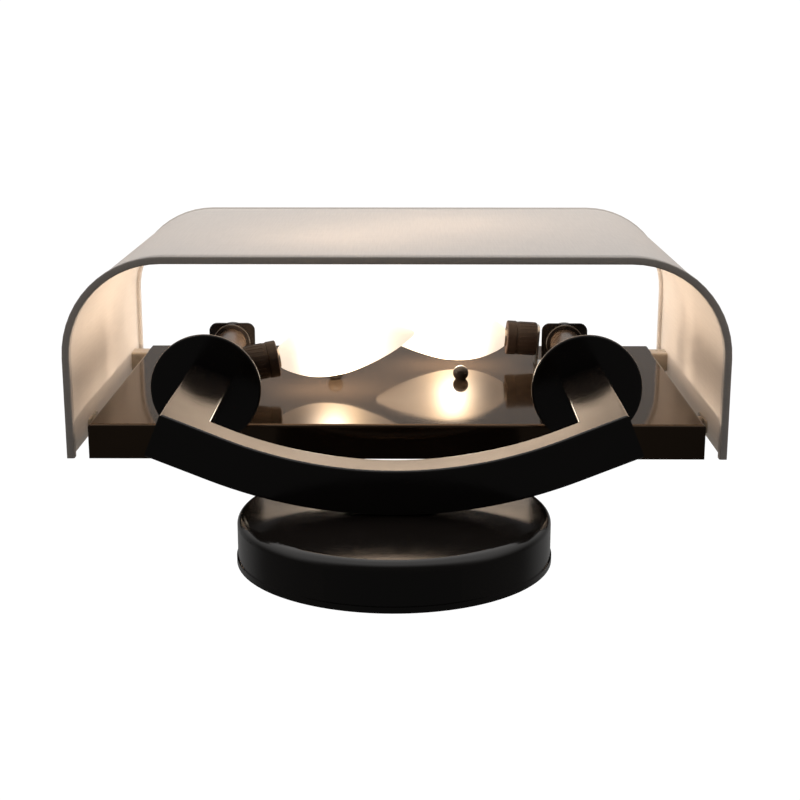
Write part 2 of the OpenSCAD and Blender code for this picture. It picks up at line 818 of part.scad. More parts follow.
wall_bar();
ground_screw();
centre_nipple();
wall_bar_nut();
canopy();
canopy_nut();
bar();
arm(-1);  // left_arm
arm(1);  // right_arm
disc(-1);  // left_disc
disc(1);  // right_disc
disc_nipple(-1);  // left_disc_nipple
disc_nipple(1);  // right_disc_nipple
tube(-1);  // left_tube
tube(1);  // right_tube
tube_ring(-1, bracket_y - ring_w, ring_edge_r);  // left_ring_nut
tube_ring(1, bracket_y - ring_w, ring_edge_r);  // right_ring_nut
tube_ring(-1, bracket_y + bracket_t, lock_edge_r);  // left_lock_nut
tube_ring(1, bracket_y + bracket_t, lock_edge_r);  // right_lock_nut
bracket(-1);  // left_bracket
bracket(1);  // right_bracket
bracket_screws();
bracket_nuts();
pan();
carrier_strap();
pan_studs();
stud_nuts();
ball_nut(-1);  // left_ball_nut
ball_nut(1);  // right_ball_nut
strap(-1);  // left_strap
strap(1);  // right_strap
strap_screws();
strap_nuts();
lampholder(-1);  // left_lampholder
lampholder(1);  // right_lampholder
screw_shell(-1);  // left_screw_shell
screw_shell(1);  // right_screw_shell
contact(-1);  // left_contact
contact(1);  // right_contact
bulb_cap(-1);  // left_bulb_cap
bulb_cap(1);  // right_bulb_cap
bulb_glass(-1);  // left_bulb_glass
bulb_glass(1);  // right_bulb_glass
shade_skin();
shade_rim(shade_base);  // shade_lower_rim
shade_rim(shade_base + shade_l - rim_w);  // shade_upper_rim
shade_posts();
shade_blocks();
shade_screws();
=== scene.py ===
"""Looks of a two-arm wall sconce: lacquer, linen shade, lit lamps, lampholders and fasteners."""

import json
import math

import bmesh
import bpy
from mathutils import Matrix, Vector


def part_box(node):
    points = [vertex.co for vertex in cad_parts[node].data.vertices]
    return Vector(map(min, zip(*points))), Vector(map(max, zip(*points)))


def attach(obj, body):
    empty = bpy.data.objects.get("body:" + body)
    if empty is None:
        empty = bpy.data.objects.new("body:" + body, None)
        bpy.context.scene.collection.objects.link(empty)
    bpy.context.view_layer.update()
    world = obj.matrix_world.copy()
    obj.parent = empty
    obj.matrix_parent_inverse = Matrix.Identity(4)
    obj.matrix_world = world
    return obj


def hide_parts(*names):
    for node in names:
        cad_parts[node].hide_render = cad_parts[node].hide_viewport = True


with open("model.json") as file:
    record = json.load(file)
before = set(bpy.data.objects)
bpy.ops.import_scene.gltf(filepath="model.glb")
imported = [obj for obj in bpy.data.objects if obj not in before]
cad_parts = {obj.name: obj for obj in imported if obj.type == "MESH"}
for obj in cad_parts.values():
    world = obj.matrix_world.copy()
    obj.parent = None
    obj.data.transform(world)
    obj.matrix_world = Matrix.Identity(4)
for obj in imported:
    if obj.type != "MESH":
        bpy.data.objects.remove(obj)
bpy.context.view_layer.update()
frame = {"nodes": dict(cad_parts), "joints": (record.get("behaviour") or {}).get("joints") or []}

bl_info = {
    "name": "Two-Arm Wall Sconce",
    "version": (1, 0, 0),
    "blender": (4, 5, 0),
    "location": "View3D > Sidebar > Sconce",
    "description": "Dresses a two-arm wall sconce and sets up its studio",
    "category": "Object",
}

MM = 0.001
UP = Vector((0, 0, 1))
FRONT = Vector((0, -1, 0))
ACROSS = Vector((1, 0, 0))
SIDES = ("left", "right")

# Radius that stands for a point on an axis, and distances under which two points are one
ON_AXIS = 0.0001 * MM
LATHE_DOUBLES = 0.002 * MM
PIECE_DOUBLES = 0.001 * MM
NODE_DOUBLES = 0.0005 * MM

# Colours of finishes that are not in the settings
TRUE_WHITE = (1, 1, 1)
GREEN_ENAMEL = (0.02, 0.16, 0.05)
BLACK_STEEL = (0.02, 0.018, 0.016)
CAP_METAL = (0.66, 0.62, 0.55)
TUBE_BROWN = (0.05, 0.035, 0.025)
LINEN_LIT = (1, 0.94, 0.86)
GLASS_ENDS = (1, 0.84, 0.68)
GLASS_HOTTEST = (1, 0.93, 0.82)
FROST = ((0.34, 0.32, 0.29), (0.38, 0.36, 0.33))
FLOOR = ((0.82, 0.82, 0.81), (0.86, 0.86, 0.85))

# Camera: width of its picture in millimetres, and the nearest thing that it sees
PICTURE_WIDTH = 36
NEAREST = 10 * MM

# Light round the sconce, and how it grows with a part of its direction
FILL_COLOUR = (1, 0.92, 0.83)
SOFT_COLOUR = (1, 0.985, 0.97)
BACKDROP_STRENGTH = 1.05
FLOOR_STRENGTH = 0.25
FROM_ABOVE = {"From Min": 0.2, "From Max": 0.7, "To Min": 0.07, "To Max": 0.2}
FROM_FRONT = {"From Min": 0.1, "From Max": -0.9, "To Min": 0, "To Max": 1}
NOT_FROM_BELOW = {"From Min": -0.75, "From Max": -0.15, "To Min": 0, "To Max": 0.95}

# Spot of light that the filament throws on the glass: its middle's distance behind the lamp's axis,
# and its reach across, to the back and to the front
HOT_SPOT_BEHIND = 4 * MM
HOT_SPOT_ACROSS = 10.6 * MM
HOT_SPOT_TO_BACK = 11 * MM
HOT_SPOT_TO_FRONT = 17 * MM

# Places of the filament and of the soft lights in the glass, as shares of its length from the neck
FILAMENT_SHARE = 0.4
LIGHT_SHARES = (0.22, 0.42, 0.64)

# Range of most of a noise texture, and distance between a wave texture's bands at a scale of 1
MOST_NOISE = (0.3, 0.7)
WAVE_BAND = math.tau / 20

# Lampholders: a collar at the mouth, proud of a body with ribs
HOLDER_LIP = 0.4 * MM
HOLDER_COLLAR = 6.4 * MM
HOLDER_BORE_R = 6.85 * MM
HOLDER_FLOOR = 3 * MM
HOLDER_CHAMFER = 0.5 * MM
WIRE_HOLE_R = 2.5 * MM
RIBS = 24
RIB_ABOVE_BASE = 1.2 * MM
RIB_BELOW_MOUTH = 8.3 * MM
RIB_WIDTH = 0.9 * MM
RIB_HEIGHT = 0.36 * MM
RIB_EDGE = 0.12 * MM

# Lamp caps: millimetres from the solder tip with shares of its radius, then the cone to the thread,
# and at the collar millimetres before the open end with millimetres inside the cap's radius
CAP_TIP_R = 2.4 * MM
CAP_TIP = ((0, 0), (0.1, 0.7), (0.9, 1), (1.8, 1))
CAP_CONE = 3.2 * MM
CAP_COLLAR = ((2.2, 0.55), (1.8, 0), (0.2, 0), (0, 0.3), (0, 0.8))
CAP_DEPTH = 0.55 * MM
CAP_PITCH = 1.9 * MM
CAP_THREAD_STARTS = 3 * MM
CAP_THREAD_STOPS = 2 * MM
NECK_SUNK = 6 * MM
NECK_INSIDE_CAP = 0.6 * MM

# V threads: shares of the pitch at which the flanks start and end, and depth as a share of the
# groove's, so that the foot lies in the metal
FLANK_SHARES = (0.06, 0.42, 0.54, 0.9)
CAP_FOOT = 1.05
ROD_FOOT = 1.03

# Screws: millimetres under the head's top with shares of its radius, and shares of the shank's radius
SCREW_R = 2 * MM
SCREW_HEAD_R = 3.7 * MM
SCREW_HEAD_T = 2.4 * MM
SCREW_HEAD = ((0, 0), (0.02, 0.35), (0.432, 0.72), (1.08, 0.95), (1.8, 1), (2.4, 1))
SCREW_PITCH = 0.9 * MM
SCREW_ROOT = 0.86
SCREW_DEPTH = 0.15
SCREW_POINT = 0.6 * MM
SCREW_POINT_R = 0.6
SCREW_PLAIN_END = 0.3 * MM

# Cross on a screw's head: length and width as shares of the head's radius, depth as a share of its
# thickness, and depth of the cross's middle as a share of its own
CROSS_LONG = 1.1
CROSS_WIDE = 0.22
CROSS_DEPTH = 0.5
CROSS_SUNK = 0.46

# Nuts: gap left round the thread, chamfer, and the angle in radians that marks a face's outer edges
NUT_SIDES = 6
NUT_GAP = 0.2 * MM
NUT_CHAMFER = 0.35 * MM
NUT_EDGE_ANGLE = 1.4
SMALL_NUT = 7 * MM
BIG_NUT = 16 * MM

# Studs and nipples: the groove's depth is a share of the pitch
ROD_DEPTH = 0.32
ROD_CHAMFER = 0.4 * MM
ROD_PLAIN_END = 0.2 * MM
STUD = {"radius": 2.1 * MM, "bore_r": 0, "pitch": 0.8 * MM}
NIPPLE = {"radius": 4.85 * MM, "bore_r": 3.2 * MM, "pitch": 0.95 * MM}

BRONZE_NODES = (
    "canopy",
    "bar",
    "left_arm",
    "right_arm",
    "left_disc",
    "right_disc",
    "left_ring_nut",
    "right_ring_nut",
    "left_lock_nut",
    "right_lock_nut",
)
GLOSS_NODES = ("left_bracket", "right_bracket", "left_ball_nut", "right_ball_nut")
TUBE_NODES = ("left_tube", "right_tube")
ZINC_NODES = ("wall_bar", "carrier_strap", "left_strap", "right_strap")
WHITE_NODES = ("shade_posts", "shade_blocks")
BRASS_NODES = ("left_screw_shell", "right_screw_shell", "left_contact", "right_contact")


# Settings

COLOUR = {"subtype": "COLOR", "size": 3, "min": 0, "max": 1}


class MetalSettings(bpy.types.PropertyGroup):
    lacquer: bpy.props.FloatVectorProperty(
        name="Lacquer",
        description="Colour of the dark bronze lacquer",
        default=(0.012, 0.0095, 0.008),
        **COLOUR,
    )
    lacquer_roughness: bpy.props.FloatProperty(
        name="Lacquer roughness",
        description="Roughness of the satin lacquer on canopy, bar, arms and discs",
        min=0,
        max=1,
        default=0.14,
    )
    pan_roughness: bpy.props.FloatProperty(
        name="Pan roughness",
        description="Roughness of the polished lacquer on the reflector pan",
        min=0,
        max=1,
        default=0.07,
    )
    zinc: bpy.props.FloatVectorProperty(
        name="Zinc", description="Colour of the zinc plated steel", default=(0.56, 0.56, 0.54), **COLOUR
    )
    brass: bpy.props.FloatVectorProperty(
        name="Brass", description="Colour of the turned brass", default=(0.72, 0.5, 0.2), **COLOUR
    )
    pan: bpy.props.FloatVectorProperty(
        name="Pan",
        description="Colour of the polished lacquer on the reflector pan",
        default=(0.08, 0.054, 0.035),
        **COLOUR,
    )
    pan_edge: bpy.props.FloatVectorProperty(
        name="Pan at a low angle",
        description="Tint of what the pan mirrors at a low angle",
        default=(0.58, 0.57, 0.56),
        **COLOUR,
    )
    white: bpy.props.FloatVectorProperty(
        name="White",
        description="Colour of the warm white lacquer on the posts and blocks",
        default=(0.46, 0.39, 0.31),
        **COLOUR,
    )


class ShadeSettings(bpy.types.PropertyGroup):
    linen: bpy.props.FloatVectorProperty(
        name="Linen", description="Colour of the linen", default=(0.79, 0.765, 0.75), **COLOUR
    )
    lining: bpy.props.FloatVectorProperty(
        name="Lining",
        description="Colour of the backing inside the shade",
        default=(0.88, 0.805, 0.735),
        **COLOUR,
    )
    rim_linen: bpy.props.FloatVectorProperty(
        name="Rim linen",
        description="Colour of the linen rolled over the rims",
        default=(0.66, 0.61, 0.57),
        **COLOUR,
    )
    weave: bpy.props.FloatProperty(
        name="Weave",
        description="Distance between the soft bands of the weave",
        unit="LENGTH",
        min=1 * MM,
        max=20 * MM,
        default=3.456 * MM,
    )
    corner_radius: bpy.props.FloatProperty(
        name="Corner radius",
        description="Outside radius of the shade's two front corners",
        unit="LENGTH",
        min=20 * MM,
        max=90 * MM,
        default=59 * MM,
    )
    cloth_thickness: bpy.props.FloatProperty(
        name="Cloth thickness",
        description="Thickness of the linen with its backing",
        unit="LENGTH",
        min=0.5 * MM,
        max=2 * MM,
        default=1.6 * MM,
    )
    passes: bpy.props.FloatProperty(
        name="Light passed",
        description="Share of the lamplight that comes through the linen",
        min=0,
        max=1,
        default=0.22,
    )
    rim_thickness: bpy.props.FloatProperty(
        name="Rim thickness",
        description="Thickness of the rolled rims",
        unit="LENGTH",
        min=2 * MM,
        max=6 * MM,
        default=4.6 * MM,
    )
    rim_roundness: bpy.props.FloatProperty(
        name="Rim roundness",
        description="Radius of the rolled rims' edges",
        unit="LENGTH",
        min=0.2 * MM,
        max=1.9 * MM,
        default=0.9 * MM,
    )
    tuck: bpy.props.FloatProperty(
        name="Tuck",
        description="How far the linen runs into each rolled rim",
        unit="LENGTH",
        min=0,
        max=5 * MM,
        default=1.5 * MM,
    )


class LampSettings(bpy.types.PropertyGroup):
    glow: bpy.props.FloatVectorProperty(
        name="Glow",
        description="Colour of the light from the frosted glass",
        default=(1, 0.76, 0.48),
        **COLOUR,
    )
    glow_strength: bpy.props.FloatProperty(
        name="Glow strength",
        description="Brightness of the glass away from the filament",
        min=0,
        max=100,
        default=4,
    )
    end_strength: bpy.props.FloatProperty(
        name="End strength",
        description="Brightness of the glass at its neck and at its tip",
        min=0,
        max=100,
        default=0.95,
    )
    core_strength: bpy.props.FloatProperty(
        name="Core strength",
        description="Brightness of the glass over the burning filament",
        min=0,
        max=200,
        default=16,
    )
    filament_power: bpy.props.FloatProperty(
        name="Filament power",
        description="Light that each filament sends out",
        unit="POWER",
        min=0,
        max=50,
        default=0.66,
    )
    light: bpy.props.FloatVectorProperty(
        name="Light",
        description="Colour of the light that the lamps send out",
        default=(1, 0.83, 0.66),
        **COLOUR,
    )
    light_radius: bpy.props.FloatProperty(
        name="Light radius",
        description="Radius of the soft lights hidden in the glass",
        unit="LENGTH",
        min=1 * MM,
        max=40 * MM,
        default=17 * MM,
    )
    phenolic: bpy.props.FloatVectorProperty(
        name="Phenolic",
        description="Colour of the moulded lampholders",
        default=(0.018, 0.0115, 0.0085),
        **COLOUR,
    )


class StageSettings(bpy.types.PropertyGroup):
    camera_place: bpy.props.FloatVectorProperty(
        name="Camera place",
        description="Where the camera stands, under the sconce and in front of the wall",
        subtype="TRANSLATION",
        unit="LENGTH",
        size=3,
        default=(8.4 * MM, -261.9 * MM, -725.9 * MM),
    )
    camera_pitch: bpy.props.FloatProperty(
        name="Camera pitch",
        description="Angle between the camera's view and the pan's face",
        subtype="ANGLE",
        default=math.radians(13.98),
    )
    camera_yaw: bpy.props.FloatProperty(
        name="Camera yaw",
        description="Turn of the camera about the wall's normal",
        subtype="ANGLE",
        default=math.radians(0.43),
    )
    camera_lens: bpy.props.FloatProperty(
        name="Lens", description="Focal length for a 36 mm wide picture", min=10, max=300, default=67.8
    )
    floor_drop: bpy.props.FloatProperty(
        name="Floor drop",
        description="Height of the canopy's middle above the floor",
        unit="LENGTH",
        min=0.5,
        max=3,
        default=1.4,
    )
    fill_power: bpy.props.FloatProperty(
        name="Fill power",
        description="Soft light from over the shade, which lifts its inside",
        unit="POWER",
        min=0,
        max=100,
        default=6,
    )
    fill_size: bpy.props.FloatProperty(
        name="Fill size",
        description="Length of the fill light's sides",
        unit="LENGTH",
        min=0.1,
        max=5,
        default=1.2,
    )
    fill_place: bpy.props.FloatVectorProperty(
        name="Fill place",
        description="Where the fill light stands, over the shade",
        subtype="TRANSLATION",
        unit="LENGTH",
        size=3,
        default=(0, -0.1, 0.75),
    )
    floor_size: bpy.props.FloatProperty(
        name="Floor size",
        description="Length of the floor's sides",
        unit="LENGTH",
        min=2,
        max=100,
        default=60,
    )


# Node helpers


class Nodes:
    """A node tree with short calls for adding and joining nodes."""

    def __init__(self, tree):
        self.tree = tree

    def add(self, kind, inputs=None, **settings):
        made = self.tree.nodes.new(kind)
        for key, value in settings.items():
            setattr(made, key, value)
        for key, value in (inputs or {}).items():
            self.put(made.inputs[key], value)
        return made

    def put(self, socket, value):
        if isinstance(value, bpy.types.NodeSocket):
            self.tree.links.new(value, socket)
        else:
            socket.default_value = value

    def spread(self, value, low, high, source_low=0.0, source_high=1.0):
        limits = {"From Min": source_low, "From Max": source_high, "To Min": low, "To Max": high}
        return self.add("ShaderNodeMapRange", {"Value": value, **limits}).outputs[0]

    def math(self, operation, first, second=0.0):
        return self.add("ShaderNodeMath", {0: first, 1: second}, operation=operation).outputs[0]


class Shader(Nodes):
    """A material's node tree, with the patterns that its finish is made of."""

    def __init__(self, name):
        self.material = bpy.data.materials.new(name)
        self.material.use_nodes = True
        super().__init__(self.material.node_tree)
        self.surface = self.tree.nodes["Principled BSDF"]
        self.output = self.tree.nodes["Material Output"]

    def set(self, **inputs):
        for key, value in inputs.items():
            self.put(self.surface.inputs[key.replace("_", " ")], value)

    def place(self, scale=(1, 1, 1)):
        """Object coordinates in metres, scaled."""
        coordinates = self.add("ShaderNodeTexCoord").outputs["Object"]
        return self.add("ShaderNodeMapping", {"Vector": coordinates, "Scale": scale}).outputs[0]

    def offset(self, place):
        """Way from a place to the shaded point, in metres."""
        coordinates = self.add("ShaderNodeTexCoord").outputs["Object"]
        made = self.add("ShaderNodeVectorMath", {0: coordinates, 1: tuple(place)}, operation="SUBTRACT")
        return made.outputs[0]

    def uv(self, scale=(1, 1, 1)):
        coordinates = self.add("ShaderNodeTexCoord").outputs["UV"]
        return self.add("ShaderNodeMapping", {"Vector": coordinates, "Scale": scale}).outputs[0]

    def noise(self, vector, scale, detail=3.0, roughness=0.5):
        made = self.add(
            "ShaderNodeTexNoise",
            {"Vector": vector, "Scale": scale, "Detail": detail, "Roughness": roughness},
        )
        return made.outputs["Fac"]

    def wave(self, vector, scale, direction, distortion=0.0, detail_scale=1.0):
        made = self.add(
            "ShaderNodeTexWave",
            {"Vector": vector, "Scale": scale, "Distortion": distortion, "Detail Scale": detail_scale},
            bands_direction=direction,
        )
        return made.outputs["Fac"]

    def square(self, value):
        return self.math("MULTIPLY", value, value)

    def mix(self, share, first, second):
        """Blend of two colours, whose sockets come after those of plain numbers and vectors."""
        made = self.add("ShaderNodeMix", data_type="RGBA")
        self.put(made.inputs[0], share)
        self.put(made.inputs[6], rgba(first))
        self.put(made.inputs[7], rgba(second))
        return made.outputs[2]

    def bump(self, height, distance, strength=1.0):
        made = self.add("ShaderNodeBump", {"Height": height, "Strength": strength, "Distance": distance})
        return made.outputs[0]


def rgba(colour):
    if isinstance(colour, bpy.types.NodeSocket) or len(colour) == 4:
        return colour
    return (*colour, 1)


def shade_of(colour, factor):
    return tuple(min(c * factor, 1) for c in colour)


# Finishes


def lacquer_finish(name, colour, roughness, ripple, metallic=0, tint=TRUE_WHITE):
    """Dark lacquer over steel, with slow colour drift, haze in patches and a faint orange peel."""
    s = Shader(name)
    drift = s.noise(s.place(), scale=14, detail=4)
    haze = s.noise(s.place(), scale=55, detail=5, roughness=0.6)
    peel = s.noise(s.place(), scale=420, detail=2)
    s.set(
        Base_Color=s.mix(drift, shade_of(colour, 0.75), shade_of(colour, 1.5)),
        Roughness=s.spread(haze, roughness * 0.8, roughness * 1.3, *MOST_NOISE),
        Normal=s.bump(peel, distance=ripple),
        Metallic=metallic,
        Specular_Tint=rgba(tint),
        IOR=1.5,
    )
    return s.material


def zinc_finish(colour):
    """Zinc plating: pale spangles and a faint rolling grain."""
    s = Shader("zinc plated steel")
    spangle = s.add("ShaderNodeTexVoronoi", {"Vector": s.place(), "Scale": 420}).outputs["Color"]
    tone = s.add("ShaderNodeSeparateColor", {"Color": spangle}).outputs[0]
    grain = s.noise(s.place(scale=(1, 18, 18)), scale=90, detail=4)
    s.set(
        Base_Color=s.mix(tone, shade_of(colour, 0.82), shade_of(colour, 1.12)),
        Metallic=1,
        Roughness=s.spread(grain, 0.26, 0.46, *MOST_NOISE),
        Normal=s.bump(grain, distance=0.02 * MM),
    )
    return s.material


def brass_finish(name, colour, roughness):
    """Turned metal with fine marks of the tool and a little tarnish."""
    s = Shader(name)
    marks = s.noise(s.place(scale=(30, 1, 1)), scale=120, detail=3)
    tarnish = s.noise(s.place(), scale=70, detail=5, roughness=0.65)
    s.set(
        Base_Color=s.mix(s.spread(tarnish, 0, 1, 0.35, 0.75), colour, shade_of(colour, 0.5)),
        Metallic=1,
        Roughness=s.spread(marks, roughness * 0.8, roughness * 1.4, *MOST_NOISE),
        Normal=s.bump(marks, distance=0.015 * MM),
    )
    return s.material


def phenolic_finish(colour):
    """Moulded phenolic: brown flecks in a darker body, dull skin with a soft sheen."""
    s = Shader("phenolic")
    flecks = s.noise(s.place(), scale=900, detail=2)
    clouds = s.noise(s.place(), scale=120, detail=4)
    body = s.mix(clouds, shade_of(colour, 0.8), shade_of(colour, 1.3))
    s.set(
        Base_Color=s.mix(s.spread(flecks, 0, 0.5, 0.58, 0.7), body, shade_of(colour, 2.4)),
        Roughness=s.spread(clouds, 0.38, 0.56, *MOST_NOISE),
        Specular_IOR_Level=0.25,
        Normal=s.bump(flecks, distance=0.03 * MM),
    )
    return s.material


def enamel_finish(name, colour):
    s = Shader(name)
    drift = s.noise(s.place(), scale=200, detail=3)
    s.set(
        Base_Color=s.mix(drift, shade_of(colour, 0.8), shade_of(colour, 1.2)),
        Roughness=s.spread(drift, 0.24, 0.36, *MOST_NOISE),
    )
    return s.material


def weave_height(s, weave):
    """Height of a plain weave, on a UV map in metres, in soft bands that wander a little."""
    flat = s.uv()
    rough = s.noise(flat, scale=160, detail=3)
    warp = s.wave(flat, WAVE_BAND / weave, "X", distortion=0.8, detail_scale=0.6)
    weft = s.wave(flat, WAVE_BAND / weave, "Y", distortion=0.8, detail_scale=0.6)
    crossing = s.math("MAXIMUM", warp, weft)
    return s.math("ADD", crossing, s.math("MULTIPLY", rough, 0.4))


def linen_finish(name, colour, weave, passes):
    """Linen on a stiff backing: a visible weave, slubs, and lamplight coming through."""
    s = Shader(name)
    along = s.noise(s.uv(scale=(9, 260, 1)), scale=4, detail=4)
    across = s.noise(s.uv(scale=(260, 9, 1)), scale=4, detail=4)
    slubs = s.math("MULTIPLY", s.math("ADD", along, across), 0.5)
    height = weave_height(s, weave)
    slubbed = s.spread(slubs, 0, 1, source_low=0.38, source_high=0.62)
    s.set(
        Base_Color=s.mix(slubbed, shade_of(colour, 0.95), shade_of(colour, 1.03)),
        Roughness=0.9,
        Sheen_Weight=0.15,
        Normal=s.bump(height, distance=0.05 * MM, strength=0.6),
    )
    through = s.mix(slubs, shade_of(colour, 0.95), LINEN_LIT)
    glow = s.add("ShaderNodeBsdfTranslucent", {"Color": through})
    both = s.add("ShaderNodeMixShader", {0: passes, 1: s.surface.outputs[0], 2: glow.outputs[0]})
    s.put(s.output.inputs["Surface"], both.outputs[0])
    return s.material


def lit_glass_finish(name, neck, tip, lamp):
    """Frosted glass lit by its filament: hottest over the filament, dimmer and paler at both ends."""
    axis = tip - neck
    s = Shader(name)
    along = s.add(
        "ShaderNodeVectorMath",
        {0: s.offset(neck), 1: tuple(axis / axis.length_squared)},
        operation="DOT_PRODUCT",
    ).outputs["Value"]
    hottest = neck + axis * FILAMENT_SHARE - FRONT * HOT_SPOT_BEHIND
    parts = s.add("ShaderNodeSeparateXYZ", {"Vector": s.offset(hottest)})
    sideways = s.math("DIVIDE", parts.outputs["X"], HOT_SPOT_ACROSS)
    backwards = s.math("DIVIDE", s.math("MAXIMUM", parts.outputs["Y"], 0), HOT_SPOT_TO_BACK)
    forwards = s.math("DIVIDE", s.math("MINIMUM", parts.outputs["Y"], 0), HOT_SPOT_TO_FRONT)
    spread = s.math("ADD", s.square(sideways), s.math("ADD", s.square(backwards), s.square(forwards)))
    heat = s.math("EXPONENT", s.math("MULTIPLY", spread, -1))
    past_neck = s.spread(along, 0, 1, source_low=0.04, source_high=0.3)
    before_tip = s.spread(along, 1, 0, source_low=0.52, source_high=0.92)
    body = s.square(s.math("MULTIPLY", past_neck, before_tip))
    warm = s.mix(body, GLASS_ENDS, lamp.glow)
    dim = s.spread(body, lamp.end_strength, lamp.glow_strength)
    frost = s.noise(s.place(), scale=700, detail=2)
    s.set(
        Base_Color=s.mix(frost, *FROST),
        Roughness=s.spread(frost, 0.45, 0.6),
        Emission_Color=s.mix(heat, warm, GLASS_HOTTEST),
        Emission_Strength=s.spread(heat, dim, lamp.core_strength),
        Normal=s.bump(frost, distance=0.02 * MM),
    )
    return s.material


def floor_finish():
    s = Shader("pale floor")
    soft = s.noise(s.place(), scale=2, detail=3)
    s.set(
        Base_Color=s.mix(soft, *FLOOR),
        Roughness=0.9,
        Emission_Color=rgba(TRUE_WHITE),
        Emission_Strength=FLOOR_STRENGTH,
    )
    return s.material


def wear(nodes, material):
    """Puts a finish on CAD nodes in place of what they have."""
    for node in nodes:
        materials = frame["nodes"][node].data.materials
        materials.clear()
        materials.append(material)


# Mesh helpers


def new_piece(name, bm, material, body="sconce", smooth_angle=35):
    """Turns a bmesh into an object that rides on a body, with sharp edges kept sharp."""
    mesh = bpy.data.meshes.new(name)
    bmesh.ops.remove_doubles(bm, verts=bm.verts, dist=PIECE_DOUBLES)
    bmesh.ops.recalc_face_normals(bm, faces=bm.faces)
    limit = math.radians(smooth_angle)
    for face in bm.faces:
        face.smooth = True
    for edge in bm.edges:
        edge.smooth = edge.is_boundary or edge.calc_face_angle(0) < limit
    bm.to_mesh(mesh)
    bm.free()
    piece = bpy.data.objects.new(name, mesh)
    bpy.context.scene.collection.objects.link(piece)
    mesh.materials.append(material)
    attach(piece, body)
    return piece


def line(bm, points):
    """A chain of edges through the points."""
    verts = [bm.verts.new(p) for p in points]
    edges = [bm.edges.new(pair) for pair in zip(verts, verts[1:])]
    return verts, edges


def block(bm, centre, sides):
    """A box about a centre, with its three sides as vectors."""
    place = Matrix.Translation(centre) @ Matrix(sides).transposed().to_4x4()
    return bmesh.ops.create_cube(bm, size=1, matrix=place)["verts"]


def ease_edges(bm, edges, size):
    bmesh.ops.bevel(bm, geom=edges, offset=size, affect="EDGES", segments=2, profile=0.5, material=-1)


def lathe(bm, outline, axis_place, axis, steps=64):
    """Turns an outline of (distance along the axis, radius) points once round the axis."""
    axis = axis.normalized()
    outwards = axis.orthogonal().normalized()
    points = [axis_place + axis * along + outwards * max(radius, ON_AXIS) for along, radius in outline]
    verts, edges = line(bm, points)
    bmesh.ops.spin(
        bm,
        geom=verts + edges,
        cent=axis_place,
        axis=axis,
        angle=math.tau,
        steps=steps,
        use_merge=True,
    )
    bmesh.ops.remove_doubles(bm, verts=bm.verts, dist=LATHE_DOUBLES)


def thread(bm, start, axis, radius, length, pitch, depth, steps=20):
    """A raised V thread that winds round a rod from start along axis."""
    axis = axis.normalized()
    outwards = axis.orthogonal().normalized()
    turns = (length - pitch) / pitch
    count = max(int(turns * steps), 3)
    root = radius - depth
    profile = zip(FLANK_SHARES, (root, radius, radius, root))
    points = [start + axis * along * pitch + outwards * r for along, r in profile]
    verts, edges = line(bm, points)
    bmesh.ops.spin(
        bm,
        geom=verts + edges,
        cent=start,
        axis=axis,
        dvec=axis * (pitch * turns / count),
        angle=math.tau * turns,
        steps=count,
    )


def solids_of(node):
    """Lowest and highest corner of each separate solid of a CAD node."""
    bm = bmesh.new()
    bm.from_mesh(frame["nodes"][node].data)
    bmesh.ops.remove_doubles(bm, verts=bm.verts, dist=NODE_DOUBLES)
    left = set(bm.verts)
    found = []
    while left:
        stack = [left.pop()]
        island = list(stack)
        while stack:
            for edge in stack.pop().link_edges:
                for vert in edge.verts:
                    if vert in left:
                        left.discard(vert)
                        stack.append(vert)
                        island.append(vert)
        corners = [[pick(v.co[i] for v in island) for i in range(3)] for pick in (min, max)]
        found.append((Vector(corners[0]), Vector(corners[1])))
    bm.free()
    return sorted(found, key=lambda box: (round(box[0].x, 4), round(box[0].z, 4)))


def middle(box):
    return (box[0] + box[1]) / 2


# Shade


def verts_and_edges(geom):
    verts = [g for g in geom if isinstance(g, bmesh.types.BMVert)]
    edges = [g for g in geom if isinstance(g, bmesh.types.BMEdge)]
    return verts, edges


